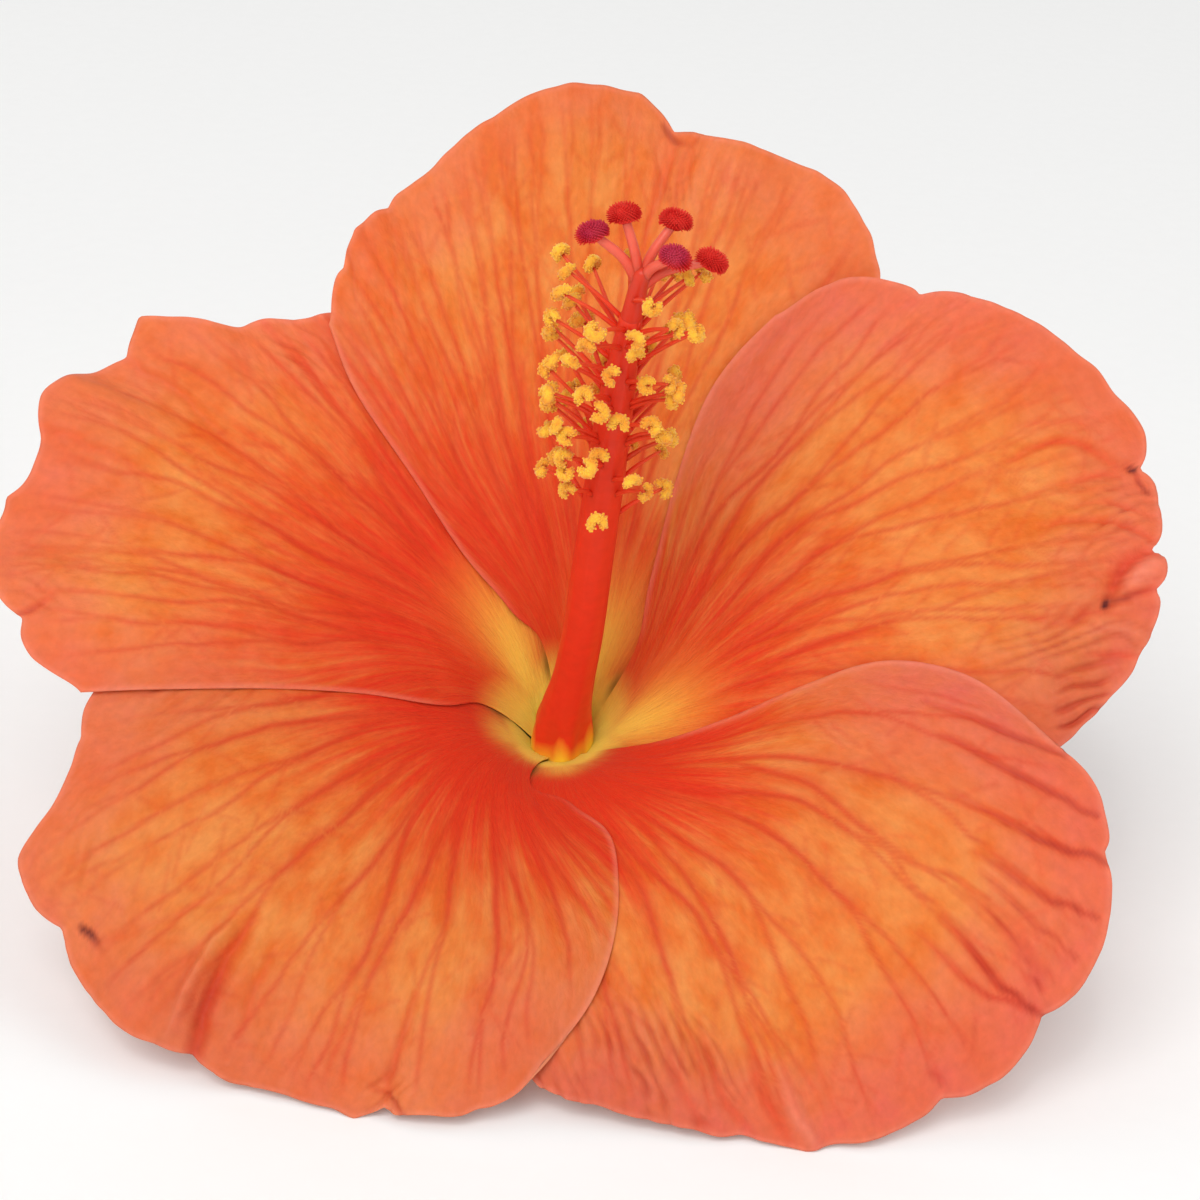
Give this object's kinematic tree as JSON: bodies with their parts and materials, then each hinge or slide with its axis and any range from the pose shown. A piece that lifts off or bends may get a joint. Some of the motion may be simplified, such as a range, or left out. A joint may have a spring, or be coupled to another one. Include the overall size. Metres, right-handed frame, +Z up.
{
  "type": "hibiscus flower",
  "caption": "Picked hibiscus flower with broad overlapping orange-red petals, a long stamen column, a green calyx and a short cut stalk, lying face up.",
  "frame": {"origin": "on the surface the flower rests on, at the middle of its bounding box", "axes": "+Z up from the surface; +X to the right across the face of the flower, its widest way; -Y towards the side the face looks at"},
  "size_m": [0.1153, 0.0675, 0.0868],
  "materials": {
    "petal": "satin",
    "column": "satin",
    "anther": "matte",
    "style": "satin",
    "stigma": "matte",
    "sepal": "matte",
    "stalk": "matte"
  },
  "bodies": {
    "root": {"petal_top": "petal", "petal_upper_right": "petal", "petal_lower_right": "petal", "petal_lower_left": "petal", "petal_upper_left": "petal", "staminal_column": "column", "anther_01": "anther", "anther_02": "anther", "anther_03": "anther", "anther_04": "anther", "anther_05": "anther", "anther_06": "anther", "anther_07": "anther", "anther_08": "anther", "anther_09": "anther", "anther_10": "anther", "anther_11": "anther", "anther_12": "anther", "anther_13": "anther", "anther_14": "anther", "anther_15": "anther", "anther_16": "anther", "anther_17": "anther", "anther_18": "anther", "anther_19": "anther", "anther_20": "anther", "anther_21": "anther", "anther_22": "anther", "anther_23": "anther", "anther_24": "anther", "anther_25": "anther", "anther_26": "anther", "anther_27": "anther", "anther_28": "anther", "anther_29": "anther", "anther_30": "anther", "anther_31": "anther", "anther_32": "anther", "anther_33": "anther", "anther_34": "anther", "anther_35": "anther", "anther_36": "anther", "anther_37": "anther", "anther_38": "anther", "anther_39": "anther", "anther_40": "anther", "anther_41": "anther", "anther_42": "anther", "anther_43": "anther", "anther_44": "anther", "anther_45": "anther", "style": "style", "stigma_1": "stigma", "stigma_2": "stigma", "stigma_3": "stigma", "stigma_4": "stigma", "stigma_5": "stigma", "calyx": "sepal", "epicalyx": "sepal", "pedicel": "stalk"}
  },
  "joints": []
}
